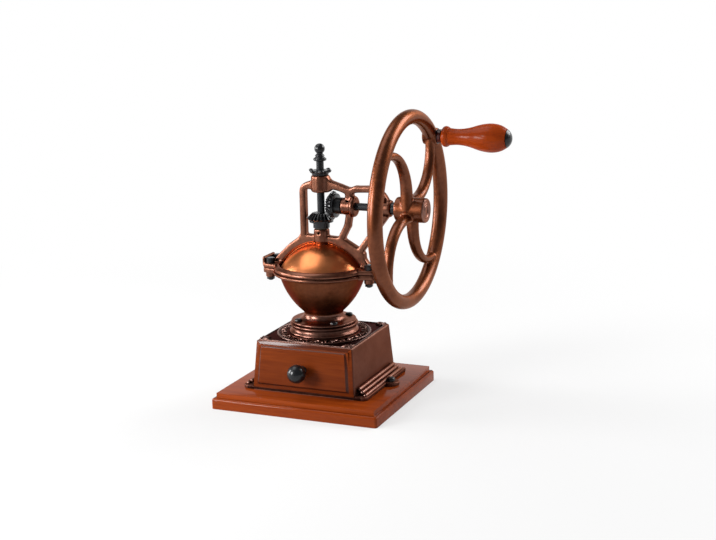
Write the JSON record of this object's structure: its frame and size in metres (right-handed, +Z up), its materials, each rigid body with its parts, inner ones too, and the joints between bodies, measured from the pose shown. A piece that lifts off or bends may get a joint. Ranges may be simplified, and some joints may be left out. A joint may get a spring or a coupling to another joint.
{
  "type": "flywheel coffee grinder",
  "caption": "Table coffee grinder with a spoked flywheel, bevel gears under a bridge frame, a domed bowl hopper, a cast housing with a drawer, and a wooden base.",
  "frame": {"origin": "middle of the plinth's underside, straight below the spindle", "axes": "+Z up, -Y towards the drawer's knob, +X towards the flywheel"},
  "size_m": [0.24, 0.1746, 0.2647],
  "materials": {
    "plinth_wood": "glossy varnish over orange-red brown wood",
    "drawer_wood": "glossy varnish over orange-red brown wood",
    "box_wood": "plain sanded wood",
    "grip_wood": "glossy dark orange-red lacquer",
    "coppered_iron": "dark antique copper coat, worn brighter on the edges",
    "copper_sheet": "polished copper",
    "black_iron": "gloss black",
    "burr_steel": "machined steel",
    "washer_brass": "plain brass"
  },
  "bodies": {
    "stand": {"plinth": "plinth_wood", "housing": "coppered_iron", "foot_bolts": "black_iron", "bowl": "coppered_iron", "flange_screws": "black_iron", "ring_burr": "burr_steel", "bearing_bar": "burr_steel", "bridge": "coppered_iron", "clamp_bolts": "black_iron", "clamp_nuts": "black_iron", "front_shell": "copper_sheet"},
    "lid": {"lid": "copper_sheet", "lid_knob": "black_iron"},
    "spindle": {"spindle": "black_iron", "cone_burr": "burr_steel", "burr_pin": "burr_steel", "spindle_gear": "black_iron", "spindle_gear_screw": "burr_steel", "thrust_washer": "washer_brass", "finial": "black_iron"},
    "adjuster": {"adjusting_nut": "black_iron"},
    "wheel": {"shaft": "black_iron", "shaft_gear": "black_iron", "shaft_gear_screw": "burr_steel", "shaft_spacer": "black_iron", "flywheel": "coppered_iron", "hub_screw": "burr_steel", "grip_pin": "burr_steel", "grip_washer": "black_iron", "grip_cap": "black_iron"},
    "grip": {"grip": "grip_wood"},
    "drawer": {"drawer_front": "drawer_wood", "drawer_sides": "box_wood", "drawer_back": "box_wood", "drawer_bottom": "box_wood", "drawer_knob": "black_iron", "knob_screw": "burr_steel"}
  },
  "joints": [
    {"name": "wheel_spin", "type": "hinge", "parent": "stand", "child": "wheel", "pos_m": [0, 0, 0.17745], "axis": [1, 0, 0], "continuous": true},
    {"name": "spindle_spin", "type": "hinge", "parent": "stand", "child": "spindle", "pos_m": [0, 0, 0.17745], "axis": [0, 0, 1], "continuous": true},
    {"name": "nut_turn", "type": "hinge", "parent": "spindle", "child": "adjuster", "pos_m": [0, 0, 0.2071], "axis": [0, 0, 1], "range_deg": [-180, 180]},
    {"name": "grip_spin", "type": "hinge", "parent": "wheel", "child": "grip", "pos_m": [0.12, 0.05706, 0.23451], "axis": [1, 0, 0], "continuous": true},
    {"name": "lid_turn", "type": "hinge", "parent": "stand", "child": "lid", "pos_m": [0, 0, 0.1434], "axis": [0, 0, 1], "range_deg": [-115, 0]},
    {"name": "drawer_slide", "type": "slide", "parent": "stand", "child": "drawer", "axis": [0, -1, 0], "range_m": [0, 0.07]}
  ],
  "couplings": [
    {"joint": "spindle_spin", "follows": "wheel_spin", "ratio": 1}
  ]
}
